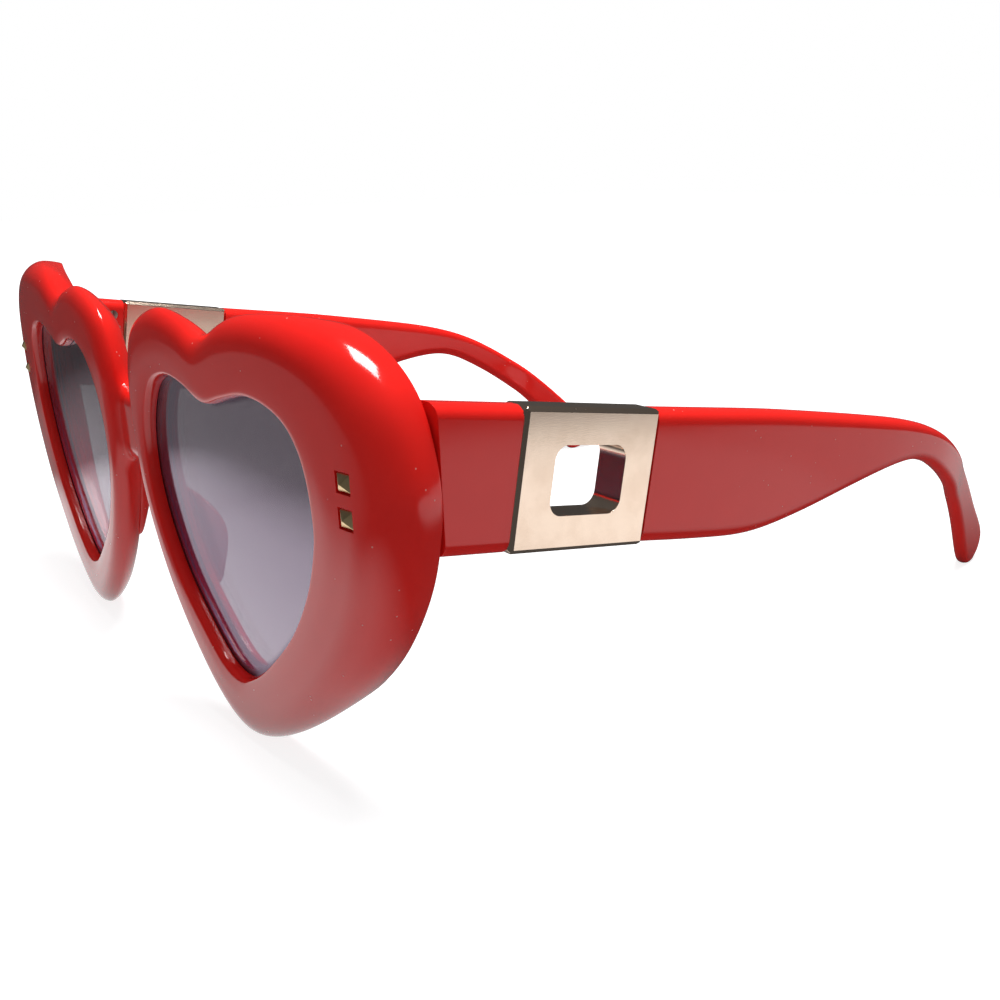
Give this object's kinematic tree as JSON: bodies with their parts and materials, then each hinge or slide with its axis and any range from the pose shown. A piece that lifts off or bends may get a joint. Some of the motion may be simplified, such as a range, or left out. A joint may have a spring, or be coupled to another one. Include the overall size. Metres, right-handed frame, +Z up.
{
  "type": "heart shaped sunglasses",
  "caption": "Chunky plastic sunglasses with heart shaped rims, wide folding temples, a metal link in each temple and square studs",
  "frame": {"origin": "middle of the footprint of the open glasses, on the surface that they stand on", "axes": "+X to the wearer's left, +Y to the rear along the temples, +Z up"},
  "size_m": [0.1432, 0.1523, 0.0628],
  "materials": {
    "frame": "polished",
    "lens": "polished, tinted from dark grey to lilac grey",
    "stud_metal": "polished",
    "link_metal": "polished rose gold plating",
    "hinge_metal": "satin",
    "screw_metal": "satin"
  },
  "bodies": {
    "front": {"front_frame": "frame", "lens_left": "lens", "lens_right": "lens", "nose_pad_left": "frame", "nose_pad_right": "frame", "stud_left_upper": "stud_metal", "stud_left_lower": "stud_metal", "stud_right_upper": "stud_metal", "stud_right_lower": "stud_metal", "front_hinge_left": "hinge_metal", "front_hinge_right": "hinge_metal", "hinge_screw_left": "screw_metal", "hinge_screw_right": "screw_metal"},
    "temple_left": {"temple_hinge_left": "hinge_metal", "temple_front_left": "frame", "temple_link_left": "link_metal", "link_screws_left": "screw_metal", "temple_rear_left": "frame"},
    "temple_right": {"temple_hinge_right": "hinge_metal", "temple_front_right": "frame", "temple_link_right": "link_metal", "link_screws_right": "screw_metal", "temple_rear_right": "frame"}
  },
  "joints": [
    {"name": "temple_left_fold", "type": "hinge", "parent": "front", "child": "temple_left", "pos_m": [0.06405, -0.05898, 0.04421], "axis": [0, 0.1678, 0.9858], "range_deg": [0, 88.65]},
    {"name": "temple_right_fold", "type": "hinge", "parent": "front", "child": "temple_right", "pos_m": [-0.06405, -0.05898, 0.04421], "axis": [0, -0.1678, -0.9858], "range_deg": [0, 66]}
  ]
}
